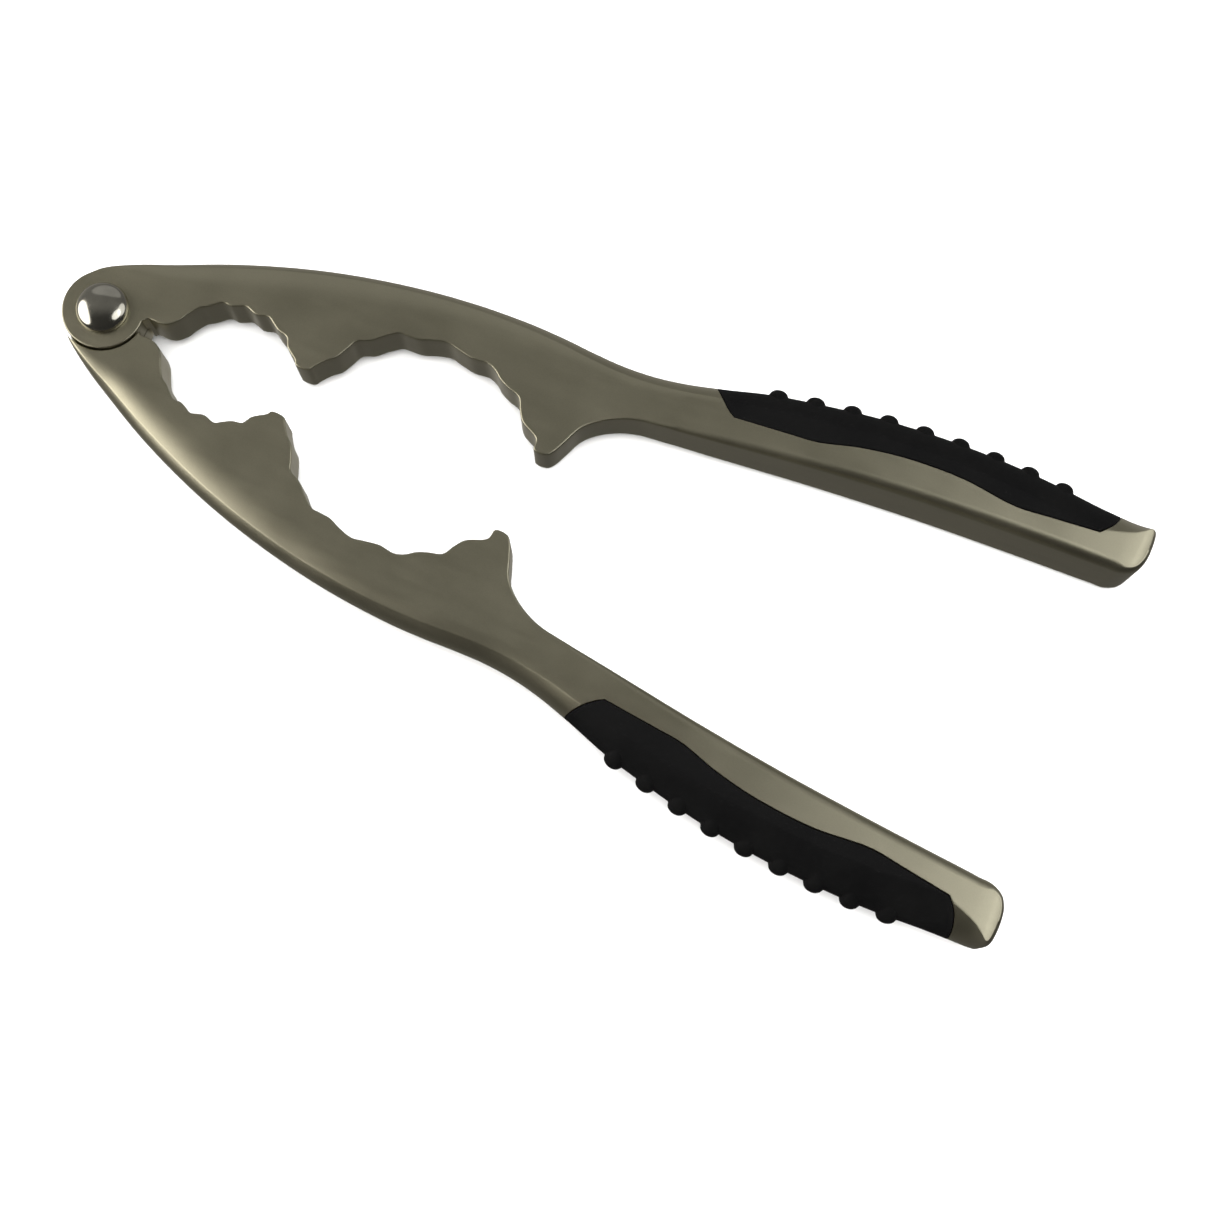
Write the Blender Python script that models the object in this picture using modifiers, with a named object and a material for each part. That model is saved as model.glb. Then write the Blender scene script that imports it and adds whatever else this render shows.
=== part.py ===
"""Two-lever nutcracker: die-cast levers on a domed rivet, with rubber grips let into the handles.

Frame: +Z up, origin under the rivet on the surface that the nutcracker rests on, +X along the line
that halves the angle between the handles. The model stands with its jaws part open. The two levers
are one shape, used twice: the lower lever is the upper one turned half a turn about the X axis.
"""
from math import atan2, cos, pi, radians, sin

import bmesh
import bpy
import numpy as np

MM = 0.001

# Heights, in millimetres above and below the levers' middle plane.
JAW_HALF = 4.15
HANDLE_HALF = 7.0
LAP_GAP = 0.3           # between the two eyes
GAP = 0.3               # between touching pieces that don't move

# Eye and rivet.
EYE_RADIUS = 7.2
SHOULDER_RADIUS = 7.55  # recess in each lever that the other lever's eye turns in
HOLE_RADIUS = 2.9
SHANK_RADIUS = 2.6
HEAD_RADIUS = 4.55
DOME_HEIGHT = 2.1
HEAD_RIM = 0.35         # straight edge under each dome
FOOT_RADIUS = 2.8       # flat on the rivet's lower head

# The eye's edge runs from the outer side, round the back, to the notch beside the jaws.
EYE_START = radians(138)
EYE_END = radians(366)
EYE_STEPS = 40

# Inner side of a lever, from the notch to the end of the handle: small nut's hollow with ridges,
# first tooth, large nut's hollow with ridges, second tooth, then the handle.
INNER_SIDE = [
    (8.0, 1.6), (10.1, 1.6), (11.6, 2.1), (12.9, 3.4), (13.8, 5.1), (14.9, 6.8), (16.2, 7.7),
    (17.2, 8.6), (18.4, 9.5), (19.9, 9.5), (21.1, 10.0), (22.3, 10.5), (24.5, 9.9), (26.6, 10.4),
    (27.9, 9.7), (29.3, 8.9), (31.1, 8.4), (32.1, 6.8), (34.1, 5.4), (34.9, 4.5), (37.1, 4.6),
    (37.9, 5.7), (39.1, 7.3), (40.6, 8.7), (41.7, 11.0), (42.5, 12.7), (44.6, 13.8), (46.4, 15.5),
    (48.4, 17.0), (50.3, 17.2), (52.2, 17.4), (54.2, 18.2), (56.8, 18.9), (59.2, 18.5), (61.8, 18.1),
    (64.4, 18.4), (66.3, 17.8), (67.8, 16.7), (69.6, 15.9), (72.0, 15.1), (73.2, 13.1), (74.6, 11.3),
    (77.7, 9.7), (78.3, 7.7), (80.4, 7.6), (81.6, 8.7), (82.7, 11.2), (84.0, 14.3), (86.3, 16.7),
    (89.2, 18.5), (92.5, 19.7), (97.0, 20.4), (104.0, 21.3), (122.5, 23.8), (137.8, 25.5),
    (150.0, 26.5), (163.4, 27.4), (172.0, 27.9), (177.0, 28.3),
]

# Outer side, from the eye to the end of the handle.
OUTER_SIDE = [
    (-5.3, 4.9), (-3.7, 6.7), (-1.2, 8.6), (2.3, 10.8), (6.5, 13.0), (14.0, 16.7), (22.0, 20.0),
    (30.5, 22.9), (39.5, 25.3), (49.0, 27.2), (58.0, 28.4), (67.0, 29.0), (74.0, 29.0), (80.0, 28.7),
    (85.5, 28.6), (91.0, 29.0), (96.5, 30.0), (103.0, 31.8), (111.0, 34.3), (120.0, 36.3),
    (130.0, 38.1), (140.0, 39.2), (150.0, 39.7), (160.0, 39.6), (170.0, 38.9), (176.5, 38.6),
]

# End of the handle: both sides turn into the middle of the end.
END_INNER = [(178.5, 29.2), (179.9, 31.1)]
END_OUTER = [(179.0, 38.3), (180.2, 37.0)]
END_MIDDLE = (180.4, 34.2)

# Where the two sides of a handle are joined rung by rung. Before it the face is one flat sheet.
HANDLE_STATIONS = [88, 92, 97, 102, 107, 112, 117, 122, 128, 134, 140, 147, 154, 161, 167, 172, 176]

# Half thickness along the lever, as (x, height).
THICKNESS = [(88, JAW_HALF), (96, 4.6), (107, 5.4), (122, 6.3), (137, 6.9), (150, HANDLE_HALF),
             (168, HANDLE_HALF), (176, 6.8), (182, 5.8)]

# Rounding of the inner edges along the lever, as (x, width in plan, height).
INNER_ROUNDING = [(0, 0.45, 0.4), (90, 0.5, 0.5), (100, 0.9, 0.8), (120, 1.5, 1.4), (145, 1.9, 1.8),
                  (172, 1.9, 1.8), (178, 1.0, 1.6), (181, 0.7, 2.2)]
# The outer side bulges up to a crease, as (x, width in plan, share of the height, degrees turned).
OUTER_BULGE = [(-7, 0.45, 0.12, 90), (-3, 0.5, 0.2, 80), (2, 0.9, 0.6, 55), (8, 1.3, 0.85, 40),
               (20, 1.6, 0.93, 32), (50, 1.7, 0.93, 32), (85, 2.2, 0.93, 32), (100, 2.8, 0.93, 32),
               (108, 3.6, 0.93, 32), (125, 4.6, 0.93, 32), (150, 5.4, 0.93, 32),
               (168, 5.9, 0.93, 32), (172, 4.9, 0.93, 32), (176, 3.3, 0.93, 32),
               (179, 1.6, 0.8, 55), (181, 0.7, 0.32, 90)]
# Above the crease a crown runs up to the flat face, as (x, width in plan, drop).
CROWN = [(-7, 0.12, 0.0), (-3, 0.4, 0.03), (2, 1.8, 0.3), (8, 3.6, 0.8), (20, 5.0, 1.15),
         (45, 4.6, 1.05), (65, 3.6, 0.75), (85, 2.4, 0.4), (100, 1.6, 0.2), (115, 0.9, 0.08),
         (150, 0.6, 0.04), (181, 0.12, 0.0)]
INNER_CROWN = 0.1       # narrow flat strip beside each inner rounding
# Places of the rings of points on the rounding and on the crown.
ROUNDING_PLACES = (0.0, 0.25, 0.5, 0.75, 1.0)
CROWN_PLACES = (0.3, 0.6, 1.0)

# Rubber grip, seen from above, from its front corner on the outer side to its rear corner.
GRIP_FRONT = [(101.0, 33.3), (101.9, 31.6), (103.6, 29.5), (105.5, 27.7), (107.1, 26.6)]
GRIP_INNER = [(107.1, 26.6), (112.0, 27.1), (117.0, 27.6), (122.0, 28.2), (129.0, 30.2),
              (137.0, 31.6), (146.5, 32.1), (155.8, 31.3), (162.5, 32.0), (170.7, 33.0)]
GRIP_REAR = [(170.7, 33.0), (172.3, 34.9), (173.3, 37.0), (174.0, 39.8)]
GRIP_OUTSIDE = 48       # the grip's cutter ends beyond the lever's outer side
TONGUE_INSET = 2.6      # the rubber's thickness over the metal tongue, on the outer side
TONGUE_HALF = 3.4
TONGUE_FRONT = 106.5
TONGUE_REAR = 168.5

# Row of knobs along a grip's outer side.
KNOB_COUNT = 9
KNOB_FIRST_X = 112.3
KNOB_PITCH_X = 6.38
KNOB_RADIUS = 1.7
KNOB_HALF_LENGTH = 3.4
KNOB_SINK = 0.45


def clear_scene():
    for item in list(bpy.data.objects):
        bpy.data.objects.remove(item)


def new_collection(name):
    made = bpy.data.collections.new(name)
    bpy.context.scene.collection.children.link(made)
    return made


def make_material(name, colour, roughness, metallic):
    made = bpy.data.materials.new(name)
    made.use_nodes = True
    shader = made.node_tree.nodes["Principled BSDF"]
    shader.inputs["Base Color"].default_value = (*colour, 1)
    shader.inputs["Roughness"].default_value = roughness
    shader.inputs["Metallic"].default_value = metallic
    return made


def add_object(name, mesh, collection, material=None):
    made = bpy.data.objects.new(name, mesh)
    collection.objects.link(made)
    if material:
        mesh.materials.append(material)
    return made


def hide_cutter(item):
    item.hide_render = True
    item.display_type = "WIRE"


def smooth_line(points, steps):
    """Catmull-Rom line through the points, with the given number of steps in each span."""
    line = []
    last = len(points) - 1
    for i in range(last):
        before = np.array(points[max(i - 1, 0)])
        start = np.array(points[i])
        end = np.array(points[i + 1])
        after = np.array(points[min(i + 2, last)])
        for k in range(steps):
            t = k / steps
            line.append(0.5 * (2 * start + (end - before) * t
                               + (2 * before - 5 * start + 4 * end - after) * t ** 2
                               + (3 * start - before - 3 * end + after) * t ** 3))
    line.append(np.array(points[last]))
    return np.array(line)


def along(table, x, column=1):
    """Value of a table's column at x, read in straight lines."""
    return float(np.interp(x, [row[0] for row in table], [row[column] for row in table]))


def side_at(line, x):
    return float(np.interp(x, line[:, 0], line[:, 1]))


def lever_outline():
    """Closed outline of a lever, the index of its handle's first rung and the number of rungs.

    It runs along the inner side to the end, back along the outer side and round the eye.
    """
    inner = smooth_line(INNER_SIDE, 3)
    outer = smooth_line(OUTER_SIDE, 2)
    first_x = HANDLE_STATIONS[0]
    jaw_inner = [tuple(p) for p in inner if p[0] < first_x - 1]
    jaw_outer = [tuple(p) for p in outer if p[0] < first_x - 1]
    handle_inner = [(x, side_at(inner, x)) for x in HANDLE_STATIONS] + END_INNER
    handle_outer = [(x, side_at(outer, x)) for x in HANDLE_STATIONS] + END_OUTER
    turn = (EYE_END - EYE_START) / EYE_STEPS
    eye = [(EYE_RADIUS * cos(EYE_START + turn * i), EYE_RADIUS * sin(EYE_START + turn * i))
           for i in range(1, EYE_STEPS + 1)]
    points = jaw_inner + handle_inner + [END_MIDDLE] + handle_outer[::-1] + jaw_outer[::-1] + eye
    return np.array(points), len(jaw_inner), len(handle_inner)


def edge_rings(points, tip):
    """Rings of (inset, height above the middle plane) pairs, from the wall up to the flat face."""
    outer_end = len(points) - EYE_STEPS
    columns = []
    for i, (x, _) in enumerate(points):
        half = along(THICKNESS, x)
        if tip <= i < outer_end:
            crown, drop = along(CROWN, x, 1), along(CROWN, x, 2)
            width, turn = along(OUTER_BULGE, x, 1), radians(along(OUTER_BULGE, x, 3))
            height = along(OUTER_BULGE, x, 2) * (half - drop)
        else:
            crown, drop, turn = INNER_CROWN, 0.0, pi / 2
            width, height = along(INNER_ROUNDING, x, 1), along(INNER_ROUNDING, x, 2)
        column = []
        for place in ROUNDING_PLACES:
            inset = width * (1 - cos(turn * place)) / (1 - cos(turn))
            column.append((inset, half - drop - height * (1 - sin(turn * place) / sin(turn))))
        for place in CROWN_PLACES:
            column.append((width + crown * place, half - drop * (1 - place) ** 2))
        columns.append(column)
    return np.array(columns).transpose(1, 0, 2)


def inward_normals(points):
    """Unit normals that point into the metal."""
    forward = np.roll(points, -1, axis=0) - points
    backward = points - np.roll(points, 1, axis=0)
    forward /= np.linalg.norm(forward, axis=1)[:, None]
    backward /= np.linalg.norm(backward, axis=1)[:, None]
    tangent = forward + backward
    tangent /= np.linalg.norm(tangent, axis=1)[:, None]
    return np.stack([-tangent[:, 1], tangent[:, 0]], axis=1)


def lever_mesh(name):
    """Lever before its eye is thinned: a rounded edge all the way round, and a flat jaw."""
    points, rung, rungs = lever_outline()
    tip = rung + rungs
    last_outer = tip + rungs
    count = len(points)
    normals = inward_normals(points)
    body = bmesh.new()
    walls = []
    for side in (1, -1):
        rings = []
        for steps in edge_rings(points, tip):
            ring = []
            for place, normal, (inset, z) in zip(points, normals, steps):
                x, y = place + normal * inset
                ring.append(body.verts.new((x * MM, y * MM, side * z * MM)))
            rings.append(ring)
        walls.append(rings[0])
        for low, high in zip(rings, rings[1:]):
            for i in range(count):
                j = (i + 1) % count
                body.faces.new((low[i], low[j], high[j], high[i]))
        top = rings[-1]
        body.faces.new(top[:rung + 1] + top[last_outer:])
        for i in range(rungs - 1):
            a, b = rung + i, last_outer - i
            body.faces.new((top[a], top[a + 1], top[b - 1], top[b]))
        body.faces.new((top[tip - 1], top[tip], top[tip + 1]))
    upper, lower = walls
    for i in range(count):
        j = (i + 1) % count
        body.faces.new((lower[i], lower[j], upper[j], upper[i]))
    bmesh.ops.recalc_face_normals(body, faces=body.faces)
    mesh = bpy.data.meshes.new(name)
    body.to_mesh(mesh)
    body.free()
    return mesh


def cylinder(name, radius, bottom, top, collection, sides=64):
    body = bmesh.new()
    bmesh.ops.create_cone(body, cap_ends=True, segments=sides, radius1=radius * MM,
                          radius2=radius * MM, depth=(top - bottom) * MM)
    bmesh.ops.translate(body, verts=body.verts, vec=(0, 0, (top + bottom) / 2 * MM))
    mesh = bpy.data.meshes.new(name)
    body.to_mesh(mesh)
    body.free()
    return add_object(name, mesh, collection)


def flat_solid(name, points, half, collection):
    """Straight-sided solid of a flat outline, from -half to +half."""
    flat = bpy.data.curves.new(name, "CURVE")
    flat.dimensions = "2D"
    flat.fill_mode = "BOTH"
    flat.extrude = half * MM
    edge = flat.splines.new("POLY")
    edge.points.add(len(points) - 1)
    for spot, (x, y) in zip(edge.points, points):
        spot.co = (x * MM, y * MM, 0, 1)
    edge.use_cyclic_u = True
    outline = add_object(name + "_outline", flat, collection)
    graph = bpy.context.evaluated_depsgraph_get()
    mesh = bpy.data.meshes.new_from_object(outline.evaluated_get(graph))
    bpy.data.objects.remove(outline)
    body = bmesh.new()
    body.from_mesh(mesh)
    bmesh.ops.remove_doubles(body, verts=body.verts, dist=1e-6)
    body.to_mesh(mesh)
    body.free()
    return add_object(name, mesh, collection)


def boolean(item, cutter, operation):
    modifier = item.modifiers.new(operation.lower() + "_" + cutter.name, "BOOLEAN")
    modifier.operation = operation
    modifier.solver = "EXACT"
    modifier.object = cutter


def bake(item):
    """Puts the modifiers' result into the object's own mesh."""
    graph = bpy.context.evaluated_depsgraph_get()
    mesh = bpy.data.meshes.new_from_object(item.evaluated_get(graph))
    item.modifiers.clear()
    item.data = mesh


def grip_plan(grow):
    """The grip's outline from above, grown by the given distance on the metal's side."""
    edge = np.concatenate([smooth_line(GRIP_FRONT, 2)[:-1], smooth_line(GRIP_INNER, 2)[:-1],
                           smooth_line(GRIP_REAR, 2)])
    ahead = np.gradient(edge, axis=0)
    ahead /= np.linalg.norm(ahead, axis=1)[:, None]
    away = np.stack([ahead[:, 1], -ahead[:, 0]], axis=1)
    grown = edge + away * grow
    front = (grown[0][0] - 2, GRIP_OUTSIDE)
    rear = (grown[-1][0] + 2, GRIP_OUTSIDE)
    return [tuple(p) for p in grown] + [rear, front]


def tongue_plan(grow):
    """Metal tongue that carries the grip, from above, grown by the given distance all round."""
    outer = smooth_line(OUTER_SIDE, 2)
    inner = smooth_line(INNER_SIDE, 3)
    stations = np.linspace(TONGUE_FRONT - grow, TONGUE_REAR + grow, 12)
    far = [(x, side_at(outer, x) - TONGUE_INSET + grow) for x in stations]
    near = [(x, side_at(inner, x) + 2) for x in stations]
    return near + far[::-1]


def add_levers_and_grips(parts, cutters, metal, rubber):
    """The upper lever and its grip, made once and used twice."""
    whole = add_object("lever_blank", lever_mesh("lever_blank"), cutters)
    below = -HANDLE_HALF - 1
    recess = cylinder("shoulder_recess", SHOULDER_RADIUS, below, LAP_GAP / 2, cutters, 96)
    hole = cylinder("rivet_hole", HOLE_RADIUS, below, -below, cutters, 40)

    grip_space = flat_solid("grip_space", grip_plan(GAP / 2), 2 * HANDLE_HALF, cutters)
    tongue = flat_solid("tongue", tongue_plan(0), TONGUE_HALF, cutters)
    boolean(grip_space, tongue, "DIFFERENCE")
    bake(grip_space)

    lever = whole.copy()
    lever.data = whole.data.copy()
    lever.name = "upper_lever"
    parts.objects.link(lever)
    for cutter in (recess, hole, grip_space):
        boolean(lever, cutter, "DIFFERENCE")
    bake(lever)
    lever.data.materials.append(metal)

    grip_body = flat_solid("upper_grip", grip_plan(-GAP / 2), 2 * HANDLE_HALF, parts)
    tongue_space = flat_solid("tongue_space", tongue_plan(GAP), TONGUE_HALF + GAP, cutters)
    boolean(grip_body, whole, "INTERSECT")
    boolean(grip_body, tongue_space, "DIFFERENCE")
    knobs = add_knobs(cutters)
    for knob in knobs:
        boolean(grip_body, knob, "UNION")
    bake(grip_body)
    grip_body.data.materials.append(rubber)
    for cutter in [whole, recess, hole, grip_space, tongue, tongue_space] + knobs:
        hide_cutter(cutter)
    return lever, grip_body


def add_knobs(cutters):
    """Long rounded knobs across the grip's outer side."""
    outer = smooth_line(OUTER_SIDE, 2)
    knobs = []
    for i in range(KNOB_COUNT):
        x = KNOB_FIRST_X + KNOB_PITCH_X * i
        y = side_at(outer, x) - KNOB_SINK
        slope = atan2(side_at(outer, x + 1) - side_at(outer, x - 1), 2)
        body = bmesh.new()
        bmesh.ops.create_uvsphere(body, u_segments=12, v_segments=8, radius=KNOB_RADIUS * MM)
        stretch = KNOB_HALF_LENGTH / KNOB_RADIUS
        bmesh.ops.scale(body, verts=body.verts, vec=(1, 1, stretch))
        mesh = bpy.data.meshes.new("knob")
        body.to_mesh(mesh)
        body.free()
        knob = add_object("knob_%d" % (i + 1), mesh, cutters)
        knob.location = (x * MM, y * MM, 0)
        knob.rotation_euler = (0, 0, slope)
        knobs.append(knob)
    bpy.context.view_layer.update()
    return knobs


def turned(name, profile, collection, material):
    """Solid turned about Z from a profile that runs down its outer side."""
    mesh = bpy.data.meshes.new(name)
    spots = [(radius * MM, 0, height * MM) for radius, height in profile]
    mesh.from_pydata(spots, [(i, i + 1) for i in range(len(spots) - 1)], [])
    item = add_object(name, mesh, collection, material)
    screw = item.modifiers.new("turn", "SCREW")
    screw.steps = 40
    screw.render_steps = 40
    screw.use_merge_vertices = True
    screw.merge_threshold = 0.00001
    screw.use_smooth_shade = True
    return item


def dome(base, height, stop=0.0):
    """Round profile from the stop radius out to the head's rim, above the base."""
    points = []
    steps = 8
    for i in range(steps + 1):
        radius = stop + (HEAD_RADIUS - stop) * sin(pi / 2 * i / steps)
        points.append((radius, base + height * cos(pi / 2 * i / steps)))
    return points


def add_rivet(parts, steel):
    """Domed rivet through both eyes, and the head that closes it from below."""
    seat = JAW_HALF + 0.1
    shank_end = -JAW_HALF - 1.2
    upper = dome(seat + HEAD_RIM, DOME_HEIGHT)
    rivet = turned("pivot_rivet", upper + [(HEAD_RADIUS, seat), (SHANK_RADIUS, seat),
                                           (SHANK_RADIUS, shank_end), (0, shank_end)], parts, steel)
    foot = -HANDLE_HALF
    under = dome(seat + HEAD_RIM, -foot - seat - HEAD_RIM, FOOT_RADIUS)
    socket = SHANK_RADIUS + GAP
    profile = [(0, shank_end - GAP), (socket, shank_end - GAP), (socket, -seat), (HEAD_RADIUS, -seat)]
    profile += [(radius, -height) for radius, height in under[::-1]] + [(0, foot)]
    tail = turned("rivet_lower_head", profile, parts, steel)
    return rivet, tail


def place(item, name, parent, turned_over=False):
    item.name = name
    item.parent = parent
    if turned_over:
        item.rotation_euler = (pi, 0, 0)


def shade(item):
    item.data.shade_smooth()
    item.data.set_sharp_from_angle(angle=radians(32))


def main():
    clear_scene()
    parts = new_collection("nutcracker")
    cutters = new_collection("cutters")
    metal = make_material("satin_zinc", (0.30, 0.29, 0.24), 0.38, 1.0)
    rubber = make_material("black_rubber", (0.02, 0.02, 0.02), 0.75, 0.0)
    steel = make_material("polished_steel", (0.75, 0.72, 0.68), 0.12, 1.0)

    pivot = bpy.data.objects.new("pivot", None)
    parts.objects.link(pivot)
    pivot.location = (0, 0, HANDLE_HALF * MM)

    upper_lever, upper_grip = add_levers_and_grips(parts, cutters, metal, rubber)
    lower_lever = add_object("lower_lever", upper_lever.data, parts)
    lower_grip = add_object("lower_grip", upper_grip.data, parts)
    rivet, tail = add_rivet(parts, steel)

    shade(upper_lever)
    shade(upper_grip)
    place(upper_lever, "upper_lever", pivot)
    place(upper_grip, "upper_grip", pivot)
    place(lower_lever, "lower_lever", pivot, turned_over=True)
    place(lower_grip, "lower_grip", pivot, turned_over=True)
    place(rivet, "pivot_rivet", pivot)
    place(tail, "rivet_lower_head", pivot)


main()
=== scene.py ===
"""Looks of a two-lever nutcracker: satin die-cast levers, a polished domed rivet, black rubber grips.

Each piece is a finer version of its CAD node, in the same frame: origin under the rivet on the floor,
+X along the line that halves the angle between the handles, +Z up. Lengths are in millimetres until
they go into a mesh.
"""
from math import cos, pi, radians, sin

import bmesh
import bpy
import numpy as np
from mathutils import Matrix, Vector


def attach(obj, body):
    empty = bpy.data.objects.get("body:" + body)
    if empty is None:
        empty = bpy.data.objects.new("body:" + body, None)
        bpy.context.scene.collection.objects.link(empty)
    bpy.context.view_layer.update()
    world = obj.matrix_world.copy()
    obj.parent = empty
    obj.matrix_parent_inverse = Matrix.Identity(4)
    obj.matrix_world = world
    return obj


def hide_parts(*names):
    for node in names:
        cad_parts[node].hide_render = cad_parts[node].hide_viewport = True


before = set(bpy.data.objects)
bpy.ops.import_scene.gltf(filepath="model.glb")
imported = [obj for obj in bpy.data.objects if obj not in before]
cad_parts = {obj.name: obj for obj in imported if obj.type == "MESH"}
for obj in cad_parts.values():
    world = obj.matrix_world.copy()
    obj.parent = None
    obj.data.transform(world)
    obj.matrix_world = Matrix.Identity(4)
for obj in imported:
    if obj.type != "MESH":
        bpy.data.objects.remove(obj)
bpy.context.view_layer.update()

MM = 0.001
MIXED_COLOUR = 2        # the mix node's colour output
FINE_STEPS = 80         # steps in each span of a smooth line before it is read at even distances
SHARP_ANGLE = radians(26)
ON_AXIS = 1e-6          # a turned profile's smaller radii count as a point on the axis

# Heights above and below the levers' middle plane.
JAW_HALF = 4.15
HANDLE_HALF = 7.0
LAP_GAP = 0.3           # between the two eyes

# Eye: its arc starts at the lever's outer side and ends at the notch.
EYE_RADIUS = 7.2
EYE_START = radians(138)
EYE_END = radians(366)
EYE_STEPS = 130
SHOULDER_RADIUS = 7.6   # of the recess that takes the other lever's eye
RECESS_LIP = 0.15       # slope where the recess meets the lower face
RECESS_SIDES = 160
HOLE_RADIUS = 2.9
HOLE_SIDES = 64

# Rivet.
SHANK_RADIUS = 2.6
SHANK_BELOW = 1.2       # length of the shank below the jaws
HEAD_RADIUS = 4.55
HEAD_RIM = 0.35         # upright part of a head
HEAD_GAP = 0.1          # between a head and the lever under it
DOME_HEIGHT = 2.1
FOOT_RADIUS = 2.8       # of the lower head's flat foot
SOCKET_GAP = 0.3        # round the shank's end, in the lower head
RIVET_ROUNDING = 0.12
ROUNDING_STEPS = 5
DOME_STEPS = 28
RIVET_SIDES = 128

# Inner side of a lever, from the notch beside the eye to the end of the handle.
INNER_SIDE = [
    (8.0, 1.6), (10.1, 1.6), (11.6, 2.1), (12.9, 3.4), (13.8, 5.1), (14.9, 6.8), (16.2, 7.7),
    (17.2, 8.6), (18.4, 9.5), (19.9, 9.5), (21.1, 10.0), (22.3, 10.5), (24.5, 9.9), (26.6, 10.4),
    (27.9, 9.7), (29.3, 8.9), (31.1, 8.4), (32.1, 6.8), (34.1, 5.4), (34.9, 4.5), (37.1, 4.6),
    (37.9, 5.7), (39.1, 7.3), (40.6, 8.7), (41.7, 11.0), (42.5, 12.7), (44.6, 13.8), (46.4, 15.5),
    (48.4, 17.0), (50.3, 17.2), (52.2, 17.4), (54.2, 18.2), (56.8, 18.9), (59.2, 18.5), (61.8, 18.1),
    (64.4, 18.4), (66.3, 17.8), (67.8, 16.7), (69.6, 15.9), (72.0, 15.1), (73.2, 13.1), (74.6, 11.3),
    (77.7, 9.7), (78.3, 7.7), (80.4, 7.6), (81.6, 8.7), (82.7, 11.2), (84.0, 14.3), (86.3, 16.7),
    (89.2, 18.5), (92.5, 19.7), (97.0, 20.4), (104.0, 21.3), (122.5, 23.8), (137.8, 25.5),
    (150.0, 26.5), (163.4, 27.4), (172.0, 27.9), (177.0, 28.3),
]

# Outer side, from the eye to the end of the handle.
OUTER_SIDE = [
    (-5.3, 4.9), (-3.7, 6.7), (-1.2, 8.6), (2.3, 10.8), (6.5, 13.0), (14.0, 16.7), (22.0, 20.0),
    (30.5, 22.9), (39.5, 25.3), (49.0, 27.2), (58.0, 28.4), (67.0, 29.0), (74.0, 29.0), (80.0, 28.7),
    (85.5, 28.6), (91.0, 29.0), (96.5, 30.0), (103.0, 31.8), (111.0, 34.3), (120.0, 36.3),
    (130.0, 38.1), (140.0, 39.2), (150.0, 39.7), (160.0, 39.6), (170.0, 38.9), (176.5, 38.6),
]

# End of the handle, from its inner side to its outer side.
END_SIDE = [(176.4, 28.2), (178.5, 29.2), (179.6, 31.0), (180.0, 33.3), (180.0, 35.4), (179.75, 37.1),
            (179.0, 38.1), (177.3, 38.5)]

FLAT_END_X = 87.0       # the jaws' faces are flat up to here
HANDLE_END_X = 175.0    # rungs across the handle are square to X up to here
RUNG_PITCH = 0.8        # distance between the rungs
GRIP_RUNG_PITCH = 0.2   # the same on a grip, for its knobs
SIDE_PITCH = 0.32       # distance between the points of the jaws' outline
END_STEPS = 28          # rungs round the end of the handle

# Half thickness along the lever, as (x, height).
THICKNESS = [(80, JAW_HALF), (88, JAW_HALF), (96, 4.6), (107, 5.4), (122, 6.3), (137, 6.85),
             (150, HANDLE_HALF), (160, HANDLE_HALF), (168, 6.98), (176, 6.82), (182, 6.5)]

# Rounding of the inner edges along the lever, as (x, width in plan, height).
INNER_ROUNDING = [(0, 0.3, 0.3), (88, 0.34, 0.34), (100, 0.9, 0.8), (120, 1.5, 1.4), (145, 1.9, 1.8),
                  (172, 1.9, 1.8), (177, 1.1, 1.6), (179.9, 0.8, 2.1), (182, 0.8, 2.1)]
# The outer side bulges from the middle plane up to a crease, as (x, width in plan, share of the height).
OUTER_SIDE_BULGE = [(-7, 0.3, 0.075), (-3, 0.45, 0.18), (2, 0.9, 0.6), (8, 1.3, 0.85), (20, 1.6, 0.93),
                    (50, 1.7, 0.93), (85, 2.2, 0.93), (100, 2.8, 0.93), (108, 3.6, 0.93),
                    (125, 4.6, 0.93), (150, 5.4, 0.93), (168, 5.9, 0.93), (172, 4.9, 0.93),
                    (176, 3.3, 0.93), (178.3, 1.7, 0.8), (179.3, 1.05, 0.5), (179.9, 0.8, 0.32),
                    (182, 0.8, 0.32)]
# Above the crease a crown runs up to the flat face, as (x, width in plan, drop).
CROWN = [(-7, 0.12, 0.0), (-3, 0.4, 0.03), (2, 1.8, 0.3), (8, 3.6, 0.8), (20, 5.0, 1.0), (45, 4.6, 0.85),
         (65, 3.6, 0.62), (85, 2.4, 0.4), (100, 1.6, 0.2), (115, 0.9, 0.08), (150, 0.6, 0.04),
         (172, 0.4, 0.03), (178, 0.3, 0.02), (179.9, 0.12, 0.0), (182, 0.12, 0.0)]
INNER_CROWN = 0.12      # width of the level strip that stands in for the crown on the inner side
HOLD_WIDTH = 0.08       # of the strip that keeps the flat face level beside the crown
# Degrees that the edge turns through: a full quarter on the inner side, fewer where there is a crease.
INNER_TURN = 90
TURN = [(-7, 90), (-3, 80), (2, 55), (8, 40), (20, 32), (176, 32), (178.3, 48), (179.3, 72),
        (179.9, 90), (182, 90)]
# Places of the rings of points: on the wall, on the rounding and on the crown.
WALL_PLACES = (0.0, 0.34, 0.67)
BULGE_PLACES = (0.0, 0.1, 0.2, 0.3, 0.4, 0.5, 0.6, 0.7, 0.8, 0.9, 0.97, 1.0)
GRIP_BULGE_PLACES = np.linspace(0, 1, 25)
CROWN_PLACES = (0.03, 0.12, 0.25, 0.4, 0.55, 0.7, 0.85, 1.0)

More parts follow.
